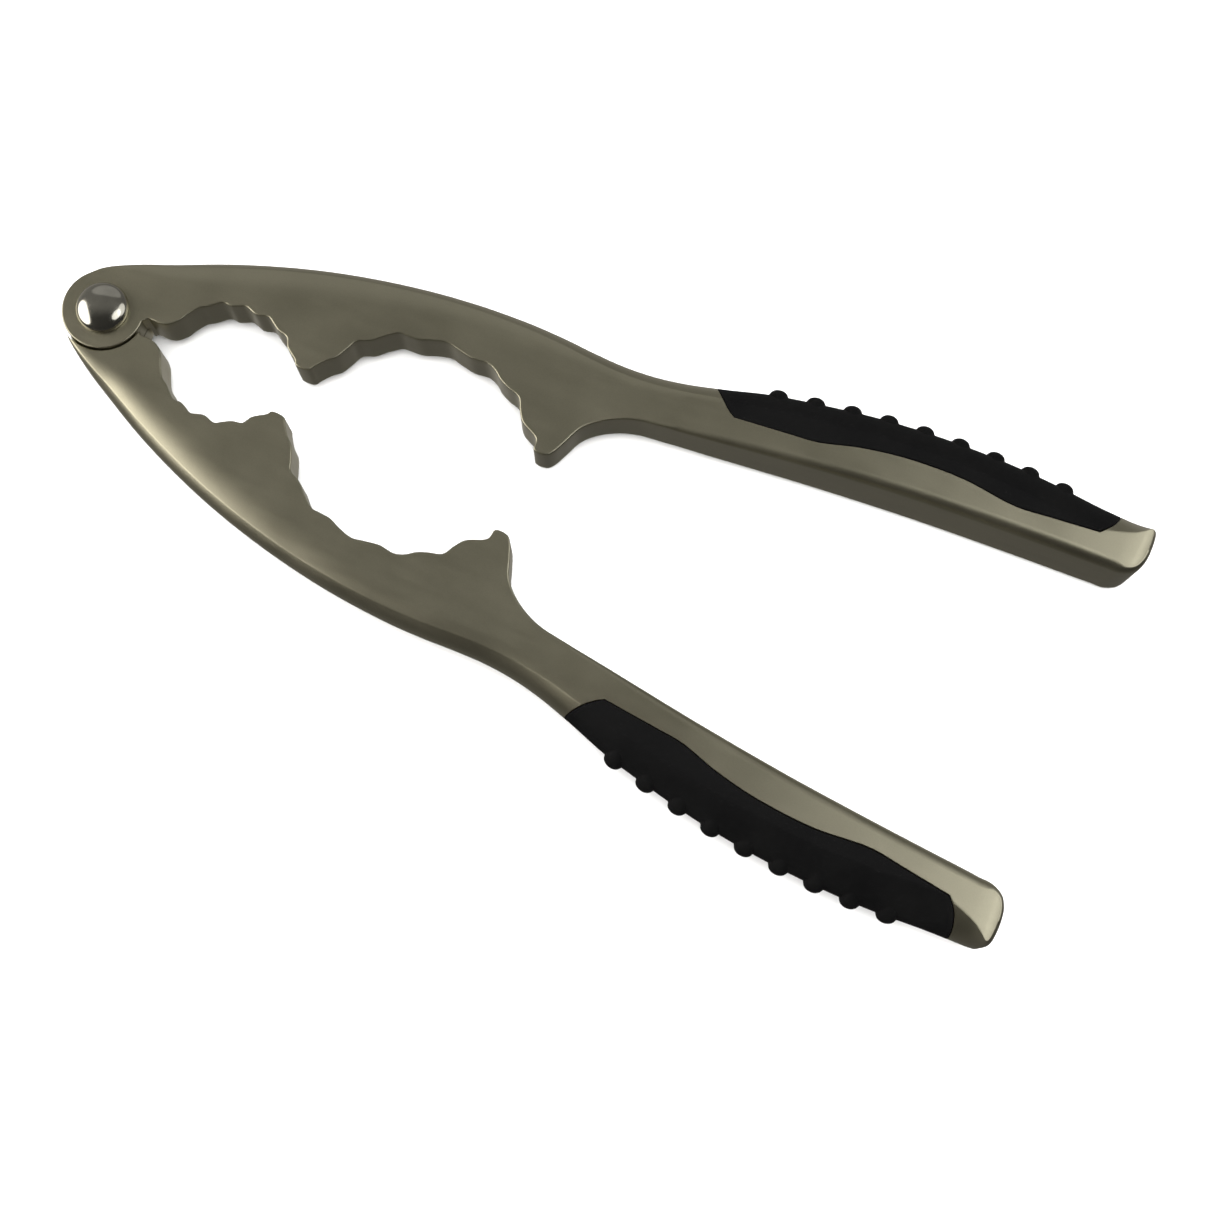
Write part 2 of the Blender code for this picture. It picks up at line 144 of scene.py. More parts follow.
# Rubber grip, seen from above, from its front corner on the outer side to its rear corner.
GRIP_FRONT = [(101.0, 33.3), (101.9, 31.6), (103.6, 29.5), (105.5, 27.7), (107.1, 26.6)]
GRIP_INNER = [(107.1, 26.6), (112.0, 27.1), (117.0, 27.6), (122.0, 28.2), (129.0, 30.2), (137.0, 31.6),
              (146.5, 32.1), (155.8, 31.3), (162.5, 32.0), (170.7, 33.0)]
GRIP_REAR = [(170.7, 33.0), (172.3, 34.9), (173.3, 37.0), (174.0, 39.8)]
GRIP_EDGE_PITCH = 0.5   # distance between the points of that line
GRIP_OUTSIDE = 48       # the solid that cuts a grip out of a lever ends here in Y
GRIP_SPREAD = 2         # and is this much longer there at each end
GRIP_RISE = 3 * HANDLE_HALF
SEAM_GAP = 0.12         # visible gap between rubber and metal, all round a grip
METAL_LIP = 0.14        # rounding of the metal's edge beside the rubber
RUBBER_LIP = 0.22       # and of the rubber's edge
LIP_STEPS = 3

# Metal tongue inside the grip.
TONGUE_HALF = 3.4       # half its thickness
TONGUE_FRONT = 106.5
TONGUE_REAR = 168.5
TONGUE_INSET = 2.6      # from the lever's outer side
TONGUE_ROOT = 2         # from the lever's inner side
TONGUE_STATIONS = 12
TONGUE_OUTER_STEPS = 2  # its sides follow the lever's at these coarser steps
TONGUE_INNER_STEPS = 3
TONGUE_GAP = 0.3        # between the tongue and the rubber

# Row of knobs along a grip's outer side.
KNOB_COUNT = 9
KNOB_FIRST_X = 112.3
KNOB_PITCH_X = 6.38
KNOB_RADIUS = 1.7
KNOB_HEIGHT = 1.25
KNOB_HALF_LENGTH = 3.4

# Colours, each from its dark patches to its light ones, and roughness from smooth to rough.
SATIN_COLOURS = ((0.50, 0.474, 0.350), (0.56, 0.530, 0.395))
SATIN_ROUGHNESS = (0.34, 0.42)
RUBBER_COLOURS = ((0.0022, 0.0022, 0.0023), (0.0031, 0.0031, 0.0031))
RUBBER_ROUGHNESS = (0.62, 0.78)
RUBBER_SPECULAR = 0.12
POLISHED_COLOURS = ((0.55, 0.53, 0.46), (0.64, 0.62, 0.54))
POLISHED_ROUGHNESS = (0.11, 0.16)
FLOOR_COLOURS = ((0.86, 0.86, 0.855), (0.88, 0.88, 0.875))
FLOOR_ROUGHNESS = 0.9
FLOOR_SPECULAR = 0.1

# From here on lengths are in metres, apart from the camera's lens and sensor.
CAMERA_AT = (0.12854, -0.07291, 0.32069)
CAMERA_FORWARD = (-0.0871, 0.1921, -0.9775)
CAMERA_UP = (-0.4038, 0.8902, 0.2109)
CAMERA_LENS = 56.3427
CAMERA_SENSOR = 36

# Sideways and backwards as the camera sees them, level with the floor.
STAGE_RIGHT = Vector((0.9107, 0.4131, 0.0))
STAGE_BACK = Vector((-0.4131, 0.9107, 0.0))

# Round floor that turns up into a wall far away.
FLOOR_RINGS = (0.3, 0.7, 1.2, 1.8)
COVE_RADIUS = 0.6
COVE_STEPS = 12
WALL_HEIGHTS = (1.2, 2.0)
BACKDROP_SIDES = 96

# Surroundings mirrored by the metal: straight below, straight above, and part of the way up.
WORLD_BELOW = (0.37, 0.36, 0.35)
WORLD_ABOVE = (0.12, 0.118, 0.112)
WORLD_BETWEEN = [(0.42, (0.14, 0.137, 0.13)), (0.6, (0.10, 0.098, 0.094)), (0.8, (0.105, 0.103, 0.098))]
# They are lighter on the left and darker in front. Each row has a direction, the two places along it
# that a change runs between, and the gain at each.
WORLD_GAINS = [(-STAGE_RIGHT, 0.0, 0.7, 1.0, 1.4), (STAGE_BACK, -0.25, 0.35, 0.35, 1.3)]

# Soft oval lights: name, place to the right and back, lowest and highest point, width, radiance,
# the point that it faces, and colour.
WARM = (1.0, 0.965, 0.92)
NEUTRAL = (1.0, 1.0, 1.0)
PANELS = [
    ("left_panel", -0.50, -0.03, 0.0, 0.55, 0.68, 2.6, (0.03, 0.0, 0.1), WARM),
    ("right_panel", 0.62, 0.06, 0.15, 0.75, 0.55, 0.9, (0.1, 0.0, 0.1), NEUTRAL),
    ("right_canopy", 0.46, -0.14, 0.42, 0.88, 0.48, 1.5, (0.17, -0.01, 0.0), NEUTRAL),
    ("back_panel", 0.05, 0.75, 0.1, 0.8, 1.1, 0.18, (0.09, 0.0, 0.0), NEUTRAL),
]
# Light from straight above, which the metal doesn't mirror.
FILL_AT = (0.09, 0.0, 1.5)
FILL_SIZE = 1.6
FILL_RADIANCE = 8.5


# ---------------------------------------------------------------------------------------------
# Lines and outlines
# ---------------------------------------------------------------------------------------------

def smooth_line(points, steps):
    """Catmull-Rom line through the points, with the given number of steps in each span."""
    points = np.array(points, float)
    padded = np.concatenate([points[:1], points, points[-1:]])
    t = (np.arange(steps) / steps)[:, None]
    spans = []
    for before, start, end, after in zip(padded, padded[1:], padded[2:], padded[3:]):
        spans.append(0.5 * (2 * start + (end - before) * t
                            + (2 * before - 5 * start + 4 * end - after) * t ** 2
                            + (3 * start - before - 3 * end + after) * t ** 3))
    return np.concatenate(spans + [points[-1:]])


def evenly(line, steps):
    """The same line in that many steps of even length."""
    lengths = np.linalg.norm(np.diff(line, axis=0), axis=1)
    travelled = np.concatenate([[0], np.cumsum(lengths)])
    marks = np.linspace(0, travelled[-1], steps + 1)
    return np.stack([np.interp(marks, travelled, line[:, i]) for i in range(2)], axis=1)


def resample(line, pitch):
    """The same line with points at about that distance."""
    length = np.linalg.norm(np.diff(line, axis=0), axis=1).sum()
    return evenly(line, int(round(length / pitch)))


def side_at(line, x):
    """Y of a side's line at x."""
    return np.interp(x, line[:, 0], line[:, 1])


def table_at(table, x, column=1):
    """Smoothly read value of a table's column at x."""
    line = smooth_line([(row[0], row[column]) for row in table], FINE_STEPS)
    return np.interp(x, line[:, 0], line[:, 1])


def unit_rows(vectors):
    return vectors / np.linalg.norm(vectors, axis=1)[:, None]


def inward_normals(points):
    """Unit normals of a closed outline that point into the metal."""
    forward = unit_rows(np.roll(points, -1, axis=0) - points)
    backward = unit_rows(points - np.roll(points, 1, axis=0))
    tangent = unit_rows(forward + backward)
    return np.stack([-tangent[:, 1], tangent[:, 0]], axis=1)


def jaw_part(line):
    """Evenly spaced points of a side up to the handle."""
    steps = resample(line, SIDE_PITCH)
    return steps[steps[:, 0] < FLAT_END_X - 0.5 * SIDE_PITCH]


class Outline:
    """Closed outline of a lever, with the places of its parts.

    It runs along the inner side to the end of the handle, back along the outer side and round the
    eye. Rungs join a point of the handle's inner side to one of its outer side.
    """

    def __init__(self, rung_pitch=RUNG_PITCH):
        inner = smooth_line(INNER_SIDE, FINE_STEPS)
        outer = smooth_line(OUTER_SIDE, FINE_STEPS)
        stations = np.arange(FLAT_END_X, HANDLE_END_X, rung_pitch)
        handle_inner = np.stack([stations, side_at(inner, stations)], axis=1)
        handle_outer = np.stack([stations, side_at(outer, stations)], axis=1)
        end = self.end_line(handle_inner[-1], handle_outer[-1])
        jaw_inner = jaw_part(inner)
        jaw_outer = jaw_part(outer)
        turn = np.linspace(EYE_START, EYE_END, EYE_STEPS + 1)[1:]
        eye = EYE_RADIUS * np.stack([np.cos(turn), np.sin(turn)], axis=1)
        half = len(end) // 2
        self.points = np.concatenate([jaw_inner, handle_inner, end, handle_outer[::-1],
                                      jaw_outer[::-1], eye])
        self.rung = len(jaw_inner)
        self.rungs = len(handle_inner) + half
        self.tip = self.rung + self.rungs
        self.last_outer = self.tip + self.rungs
        self.eye_from = len(self.points) - EYE_STEPS

    @staticmethod
    def end_line(start, finish):
        """Points round the end of the handle, an odd number of them, without the two given ones."""
        line = smooth_line([tuple(start)] + END_SIDE + [tuple(finish)], FINE_STEPS)
        return evenly(line, 2 * END_STEPS)[1:-1]

    def profile(self):
        """Columns of the edge's shape at each point: half thickness, bulge width, bulge height, turn,
        crown width and crown drop."""
        x = self.points[:, 0]
        index = np.arange(len(x))
        on_outer = (index >= self.tip) & (index < self.eye_from)
        half = table_at(THICKNESS, x)
        drop = np.where(on_outer, table_at(CROWN, x, 2), 0.0)
        crown = np.where(on_outer, table_at(CROWN, x, 1), INNER_CROWN)
        height = np.where(on_outer, table_at(OUTER_SIDE_BULGE, x, 2) * (half - drop),
                          table_at(INNER_ROUNDING, x, 2))
        width = np.where(on_outer, table_at(OUTER_SIDE_BULGE, x, 1), table_at(INNER_ROUNDING, x, 1))
        turn = np.radians(np.where(on_outer, table_at(TURN, x), INNER_TURN))
        return half, width, height, turn, crown, drop


# ---------------------------------------------------------------------------------------------
# Meshes
# ---------------------------------------------------------------------------------------------

def lever_rings(outline, bulge_places, swell=None):
    """Rings of points from the middle of the wall up to the flat face, as arrays of (x, y, z).

    swell gives how far each point stands out from the outline, from the outline's points and heights.
    """
    points = outline.points
    normals = inward_normals(points)
    half, width, height, turn, crown, drop = outline.profile()
    foot = half - drop - height
    steps = [(np.zeros(len(points)), foot * place) for place in WALL_PLACES]
    for place in bulge_places:
        angle = turn * place
        steps.append((width * (1 - np.cos(angle)) / (1 - np.cos(turn)),
                      foot + height * np.sin(angle) / np.sin(turn)))
    for place in CROWN_PLACES:
        steps.append((width + crown * place, half - drop * (1 - place) ** 2))
    steps.append((width + crown + HOLD_WIDTH, half))
    rings = []
    for inset, z in steps:
        plan = points + normals * inset[:, None]
        if swell is not None:
            plan -= normals * swell(points, z)[:, None]
        rings.append(np.column_stack([plan, z]))
    return rings


def lever_mesh(name, outline, bulge_places=BULGE_PLACES, swell=None):
    """Whole lever before its eye is thinned, rounded all the way round its edges."""
    rings = lever_rings(outline, bulge_places, swell)
    count = len(outline.points)
    body = bmesh.new()
    sides = []
    for side in (1, -1):
        made = []
        for row, ring in enumerate(rings):
            if row == 0 and side == -1:
                made.append(sides[0][0])
                continue
            made.append([body.verts.new((x * MM, y * MM, side * z * MM)) for x, y, z in ring])
        sides.append(made)
        for low, high in zip(made, made[1:]):
            for i in range(count):
                j = (i + 1) % count
                body.faces.new((low[i], low[j], high[j], high[i]))
        # The jaws' flat face is one face, and the handle's is one face from rung to rung.
        top = made[-1]
        rung, tip, last_outer = outline.rung, outline.tip, outline.last_outer
        body.faces.new(top[:rung + 1] + top[last_outer:])
        for i in range(outline.rungs - 1):
            a, b = rung + i, last_outer - i
            body.faces.new((top[a], top[a + 1], top[b - 1], top[b]))
        body.faces.new((top[tip - 1], top[tip], top[tip + 1]))
    bmesh.ops.recalc_face_normals(body, faces=body.faces)
    return to_mesh(name, body)


def to_mesh(name, body):
    mesh = bpy.data.meshes.new(name)
    body.to_mesh(mesh)
    body.free()
    return mesh


def new_object(name, mesh):
    made = bpy.data.objects.new(name, mesh)
    bpy.context.scene.collection.objects.link(made)
    return made


def ring_solid(name, rings):
    """Closed solid between rings of the same number of points, with flat ends."""
    body = bmesh.new()
    made = []
    for ring in rings:
        made.append([body.verts.new((x * MM, y * MM, z * MM)) for x, y, z in ring])
    count = len(made[0])
    for low, high in zip(made, made[1:]):
        for i in range(count):
            j = (i + 1) % count
            body.faces.new((low[i], low[j], high[j], high[i]))
    body.faces.new(made[0][::-1])
    body.faces.new(made[-1])
    bmesh.ops.recalc_face_normals(body, faces=body.faces)
    return new_object(name, to_mesh(name, body))


def turned(name, profile, sides, unit=MM):
    """Surface turned about Z from (radius, height) pairs; it is a solid if both ends are on the axis."""
    body = bmesh.new()
    rings = []
    for radius, height in profile:
        if radius < ON_AXIS:
            rings.append([body.verts.new((0, 0, height * unit))])
            continue
        rings.append([body.verts.new((radius * cos(2 * pi * i / sides) * unit,
                                      radius * sin(2 * pi * i / sides) * unit, height * unit))
                      for i in range(sides)])
    for high, low in zip(rings, rings[1:]):
        for i in range(sides):
            j = (i + 1) % sides
            corners = [high[i % len(high)], low[i % len(low)], low[j % len(low)], high[j % len(high)]]
            body.faces.new(list(dict.fromkeys(corners)))
    bmesh.ops.recalc_face_normals(body, faces=body.faces)
    return new_object(name, to_mesh(name, body))


def boolean(item, cutter, operation):
    """Adds a boolean modifier to the object, for bake() to apply."""
    modifier = item.modifiers.new(operation.lower() + "_" + cutter.name, "BOOLEAN")
    modifier.operation = operation
    modifier.solver = "EXACT"
    modifier.object = cutter


def bake(item, *used):
    """Puts the modifiers' result into the object's own mesh and removes what it was cut with."""
    graph = bpy.context.evaluated_depsgraph_get()
    mesh = bpy.data.meshes.new_from_object(item.evaluated_get(graph))
    item.modifiers.clear()
    item.data = mesh
    for cutter in used:
        bpy.data.objects.remove(cutter)


def shade(item):
    """Smooth shading that stays crisp at sharp edges and even on the large faces."""
    item.data.shade_smooth()
    item.data.set_sharp_from_angle(angle=SHARP_ANGLE)
    flatten = item.modifiers.new("even_faces", "WEIGHTED_NORMAL")
    flatten.keep_sharp = True
    bake(item)


# ---------------------------------------------------------------------------------------------
# The pieces' shapes
# ---------------------------------------------------------------------------------------------

def surface_height(outline, spots):
    """Height of the lever's upper surface over each (x, y)."""
    half, width, height, turn, crown, drop = outline.profile()
    heights = []
    for x, y in spots:
        gaps = np.hypot(outline.points[:, 0] - x, outline.points[:, 1] - y)
        i = int(np.argmin(gaps))
        if gaps[i] > width[i]:
            place = min((gaps[i] - width[i]) / crown[i], 1.0)
            heights.append(half[i] - drop[i] * (1 - place) ** 2)
            continue
        angle = np.arccos(1 - gaps[i] / width[i] * (1 - cos(turn[i])))
        heights.append(half[i] - drop[i] - height[i] * (1 - sin(angle) / sin(turn[i])))
    return np.array(heights)


def grip_edge():
    """Line between rubber and metal from above, with a corner at each end of its long part."""
    parts = [resample(smooth_line(part, FINE_STEPS), GRIP_EDGE_PITCH)
             for part in (GRIP_FRONT, GRIP_INNER, GRIP_REAR)]
    return np.concatenate([parts[0][:-1], parts[1][:-1], parts[2]])


def grip_cutter(name, outline, gap, lip):
    """Solid with the grip's plan, grown by the gap.

    It flares by a rounded lip where it meets the lever's surface, or narrows if the lip is negative.
    """
    edge = grip_edge()
    ahead = unit_rows(np.gradient(edge, axis=0))
    away = np.stack([ahead[:, 1], -ahead[:, 0]], axis=1)
    outside = np.array([(edge[-1][0] + GRIP_SPREAD, GRIP_OUTSIDE),
                        (edge[0][0] - GRIP_SPREAD, GRIP_OUTSIDE)])
    surface = surface_height(outline, edge)
    surface = np.concatenate([surface, [surface[-1], surface[0]]])
    profile = []
    for step in range(LIP_STEPS + 1):
        angle = pi / 2 * step / LIP_STEPS
        profile.append((gap + lip * (1 - cos(angle)), surface - abs(lip) * (1 - sin(angle))))
    profile.append((gap + lip, surface + GRIP_RISE))
    rings = []
    for grow, z in [(grow, -z) for grow, z in profile[::-1]] + profile:
        plan = np.concatenate([edge + away * grow, outside])
        rings.append(np.column_stack([plan, z]))
    return ring_solid(name, rings)


def tongue_cutter(name, grow):
    """Metal tongue that carries the grip, grown by the given distance all round."""
    outer = smooth_line(OUTER_SIDE, TONGUE_OUTER_STEPS)
    inner = smooth_line(INNER_SIDE, TONGUE_INNER_STEPS)
    stations = np.linspace(TONGUE_FRONT - grow, TONGUE_REAR + grow, TONGUE_STATIONS)
    far = [(x, side_at(outer, x) - TONGUE_INSET + grow) for x in stations]
    near = [(x, side_at(inner, x) + TONGUE_ROOT) for x in stations]
    plan = np.array(near + far[::-1])
    half = TONGUE_HALF + grow
    return ring_solid(name, [np.column_stack([plan, np.full(len(plan), z)]) for z in (-half, half)])


def make_lever():
    """The upper lever, standing about its own middle plane."""
    outline = Outline()
    lever = new_object("upper_lever_metal", lever_mesh("lever_metal", outline))
    above, below = HANDLE_HALF + 1, -HANDLE_HALF - 1
    recess_profile = [(0, LAP_GAP / 2), (SHOULDER_RADIUS, LAP_GAP / 2),
                      (SHOULDER_RADIUS, -JAW_HALF + RECESS_LIP),
                      (SHOULDER_RADIUS + RECESS_LIP, -JAW_HALF), (SHOULDER_RADIUS + RECESS_LIP, below),
                      (0, below)]
    recess = turned("shoulder_recess", recess_profile, RECESS_SIDES)
    hole_profile = [(0, above), (HOLE_RADIUS, above), (HOLE_RADIUS, below), (0, below)]
    hole = turned("rivet_hole", hole_profile, HOLE_SIDES)
    grip_space = grip_cutter("grip_space", outline, SEAM_GAP / 2, METAL_LIP)
    tongue = tongue_cutter("tongue", 0)
    boolean(grip_space, tongue, "DIFFERENCE")
    bake(grip_space, tongue)
    for cutter in (recess, hole, grip_space):
        boolean(lever, cutter, "DIFFERENCE")
    bake(lever, recess, hole, grip_space)
    shade(lever)
    return lever


def knob_swell(points, z):
    """How far the rubber stands out at each point, for one row of rounded knobs."""
    swell = np.zeros(len(points))
    outer = smooth_line(OUTER_SIDE, FINE_STEPS)
    for i in range(KNOB_COUNT):
        centre_x = KNOB_FIRST_X + KNOB_PITCH_X * i
        centre = np.array([centre_x, side_at(outer, centre_x)])
        off = np.linalg.norm(points - centre, axis=1)
        reach = (off / KNOB_RADIUS) ** 2 + (z / KNOB_HALF_LENGTH) ** 2
        swell = np.maximum(swell, KNOB_HEIGHT * np.sqrt(np.clip(1 - reach, 0, 1)))
    return swell


def make_grip():
    """The upper grip, about the lever's middle plane."""
    outline = Outline(GRIP_RUNG_PITCH)
    plan = grip_cutter("grip_plan", outline, -SEAM_GAP / 2, -RUBBER_LIP)
    inside = tongue_cutter("tongue_space", TONGUE_GAP)
    grip = new_object("upper_grip_rubber",
                      lever_mesh("grip_rubber", outline, GRIP_BULGE_PLACES, knob_swell))
    boolean(grip, plan, "INTERSECT")
    boolean(grip, inside, "DIFFERENCE")
    bake(grip, plan, inside)
    shade(grip)
    return grip


def rounded(points):
    """Profile with each corner between its ends replaced by a small curve like an arc."""
    points = [np.array(p, float) for p in points]
    line = [points[0]]
    for before, corner, after in zip(points, points[1:], points[2:]):
        into = corner - before
        out = after - corner
        start = corner - into / np.linalg.norm(into) * RIVET_ROUNDING
        end = corner + out / np.linalg.norm(out) * RIVET_ROUNDING
        for k in range(ROUNDING_STEPS + 1):
            t = k / ROUNDING_STEPS
            line.append((1 - t) ** 2 * start + 2 * t * (1 - t) * corner + t ** 2 * end)
    line.append(points[-1])
    return [tuple(p) for p in line]


def cap(base, height, flat=0.0):
    """Profile of a dome, from the edge of its flat top out to the head's rim."""
    angles = [pi / 2 * i / DOME_STEPS for i in range(DOME_STEPS + 1)]
    return [(flat + (HEAD_RADIUS - flat) * sin(a), base + height * cos(a)) for a in angles]


def make_rivet():
    """Domed rivet with its shank, and the head that closes it from below."""
    seat = JAW_HALF + HEAD_GAP
    rim = seat + HEAD_RIM
    shank_end = -JAW_HALF - SHANK_BELOW
    top = cap(rim, DOME_HEIGHT)
    tail = rounded([top[-1], (HEAD_RADIUS, seat), (SHANK_RADIUS, seat), (SHANK_RADIUS, shank_end),
                    (0, shank_end)])
    rivet = turned("rivet_dome", top + tail[1:], RIVET_SIDES)

    socket = SHANK_RADIUS + SOCKET_GAP
    socket_end = shank_end - SOCKET_GAP
    under = [(radius, -z) for radius, z in cap(rim, HANDLE_HALF - rim, FOOT_RADIUS)[::-1]]
    inner = rounded([(0, socket_end), (socket, socket_end), (socket, -seat), (HEAD_RADIUS, -seat),
                     under[0]])
    head = turned("rivet_tail_head", inner + under[1:] + [(0, -HANDLE_HALF)], RIVET_SIDES)
    shade(rivet)
    shade(head)
    return rivet, head


# ---------------------------------------------------------------------------------------------
# Materials
# ---------------------------------------------------------------------------------------------

class Nodes:
    """Short way to add nodes to a material's tree. Textures read the object's own coordinates."""

    def __init__(self, name):
        self.material = bpy.data.materials.new(name)
        self.material.use_nodes = True
        self.tree = self.material.node_tree
        self.shader = self.tree.nodes["Principled BSDF"]
        self.spot = self.add("ShaderNodeTexCoord").outputs["Object"]

    def add(self, kind, **settings):
        node = self.tree.nodes.new(kind)
        for key, value in settings.items():
            setattr(node, key, value)
        return node

    def join(self, source, target):
        self.tree.links.new(source, target)

    def stretched(self, factors):
        """Object coordinates scaled by a factor along each axis."""
        node = self.add("ShaderNodeMapping")
        node.inputs["Scale"].default_value = factors
        self.join(self.spot, node.inputs["Vector"])
        return node.outputs["Vector"]

    def noise(self, scale, detail, vector=None):
        """Cloudy noise; the scale is in waves per metre."""
        node = self.add("ShaderNodeTexNoise")
        node.inputs["Scale"].default_value = scale
        node.inputs["Detail"].default_value = detail
        self.join(vector or self.spot, node.inputs["Vector"])
        return node.outputs["Fac"]

    def spots(self, scale):
        """Distance to the nearest of many scattered points."""
        node = self.add("ShaderNodeTexVoronoi")
        node.inputs["Scale"].default_value = scale
        self.join(self.spot, node.inputs["Vector"])
        return node.outputs["Distance"]

    def remap(self, source, span, to_span, smooth=False):
        """The source with the first span stretched to the second."""
        node = self.add("ShaderNodeMapRange")
        if smooth:
            node.interpolation_type = "SMOOTHSTEP"
        for key, value in zip(("From Min", "From Max", "To Min", "To Max"), (*span, *to_span)):
            node.inputs[key].default_value = value
        self.join(source, node.inputs["Value"])
        return node.outputs["Result"]

    def scaled(self, source, factor):
        node = self.add("ShaderNodeMath", operation="MULTIPLY")
        self.join(source, node.inputs[0])
        node.inputs[1].default_value = factor
        return node.outputs["Value"]

    def weighted(self, first, first_weight, second, second_weight):
        """Sum of two sources, each times its weight."""
        node = self.add("ShaderNodeMath", operation="ADD")
        self.join(self.scaled(first, first_weight), node.inputs[0])
        self.join(self.scaled(second, second_weight), node.inputs[1])
        return node.outputs["Value"]

    def blend(self, share, first, second):
        """Colour between the two, by share."""
        node = self.add("ShaderNodeMix", data_type="RGBA")
        self.join(share, node.inputs["Factor"])
        node.inputs["A"].default_value = (*first, 1)
        node.inputs["B"].default_value = (*second, 1)
        return node.outputs[MIXED_COLOUR]

    def bump(self, height, depth, strength, before=None):
        """Relief of the given depth in metres, laid over an earlier one."""
        node = self.add("ShaderNodeBump")
        node.inputs["Distance"].default_value = depth
        node.inputs["Strength"].default_value = strength
        self.join(height, node.inputs["Height"])
        if before is not None:
            self.join(before, node.inputs["Normal"])
        return node.outputs["Normal"]


def mottled(made, cloud, span, colours):
    """Gives the material a base colour that drifts between the two."""
    share = made.remap(cloud, span, (0.0, 1.0))
    made.join(made.blend(share, *colours), made.shader.inputs["Base Color"])


def satin_metal():
    """Bead-blasted and satin-plated zinc casting: fine grain, faint brushing, a few tiny pits."""
    made = Nodes("satin_nickel")
    grain = made.noise(scale=5200, detail=2.0)
    cloud = made.noise(scale=95, detail=3.0)
    brushing = made.noise(900, 3.0, made.stretched((0.12, 1.0, 1.0)))
    waves = made.noise(160, 2.0, made.stretched((1.0, 0.25, 0.25)))
    mottled(made, made.weighted(cloud, 0.6, grain, 0.4), (0.35, 0.65), SATIN_COLOURS)
    rough = made.weighted(cloud, 0.5, brushing, 0.5)
    made.join(made.remap(rough, (0.3, 0.7), SATIN_ROUGHNESS), made.shader.inputs["Roughness"])
    made.shader.inputs["Metallic"].default_value = 1.0
    pits = made.remap(made.spots(scale=330), (0.0, 0.045), (0.0, 1.0), smooth=True)
    marks = made.weighted(grain, 0.5, brushing, 0.8)
    low = made.bump(waves, depth=0.00004, strength=0.35)
    fine = made.bump(marks, depth=0.00001, strength=0.55, before=low)
    pitted = made.bump(pits, depth=0.00004, strength=0.5, before=fine)
    made.join(pitted, made.shader.inputs["Normal"])
    return made.material


def black_rubber():
    """Matt moulded rubber with a fine grain."""
    made = Nodes("matt_black_rubber")
    grain = made.noise(scale=3800, detail=3.0)
    cloud = made.noise(scale=120, detail=3.0)
    mottled(made, cloud, (0.35, 0.65), RUBBER_COLOURS)
    made.join(made.remap(cloud, (0.3, 0.7), RUBBER_ROUGHNESS), made.shader.inputs["Roughness"])
    made.shader.inputs["Specular IOR Level"].default_value = RUBBER_SPECULAR
    made.join(made.bump(grain, depth=0.00003, strength=0.6), made.shader.inputs["Normal"])
    return made.material


def polished_metal():
    """Bright nickel on the rivet, with faint polishing marks."""
    made = Nodes("polished_nickel")
    cloud = made.noise(scale=420, detail=3.0)
    marks = made.noise(scale=2600, detail=2.0)
    mottled(made, cloud, (0.35, 0.65), POLISHED_COLOURS)
    made.join(made.remap(cloud, (0.3, 0.7), POLISHED_ROUGHNESS), made.shader.inputs["Roughness"])
    made.shader.inputs["Metallic"].default_value = 1.0
    made.join(made.bump(marks, depth=0.000004, strength=0.35), made.shader.inputs["Normal"])
    return made.material


def plain_floor():
    """Pale and matt, with hardly any change of tone."""
    made = Nodes("pale_floor")
    mottled(made, made.noise(scale=3.0, detail=2.0), (0.3, 0.7), FLOOR_COLOURS)
    made.shader.inputs["Roughness"].default_value = FLOOR_ROUGHNESS
    made.shader.inputs["Specular IOR Level"].default_value = FLOOR_SPECULAR
    return made.material


# ---------------------------------------------------------------------------------------------
# Stage
# ---------------------------------------------------------------------------------------------

def add_backdrop():
    """Floor, cove and wall in one matt surface that the metal doesn't mirror."""
    edge = FLOOR_RINGS[-1]
    angles = [pi / 2 * i / COVE_STEPS for i in range(1, COVE_STEPS + 1)]
    profile = [(0.0, 0.0)] + [(radius, 0.0) for radius in FLOOR_RINGS]
    profile += [(edge + COVE_RADIUS * sin(a), COVE_RADIUS * (1 - cos(a))) for a in angles]
    profile += [(edge + COVE_RADIUS, height) for height in WALL_HEIGHTS]
    floor = turned("backdrop", profile, BACKDROP_SIDES, unit=1.0)
    floor.data.shade_smooth()
    floor.data.materials.append(plain_floor())
    floor.visible_glossy = False


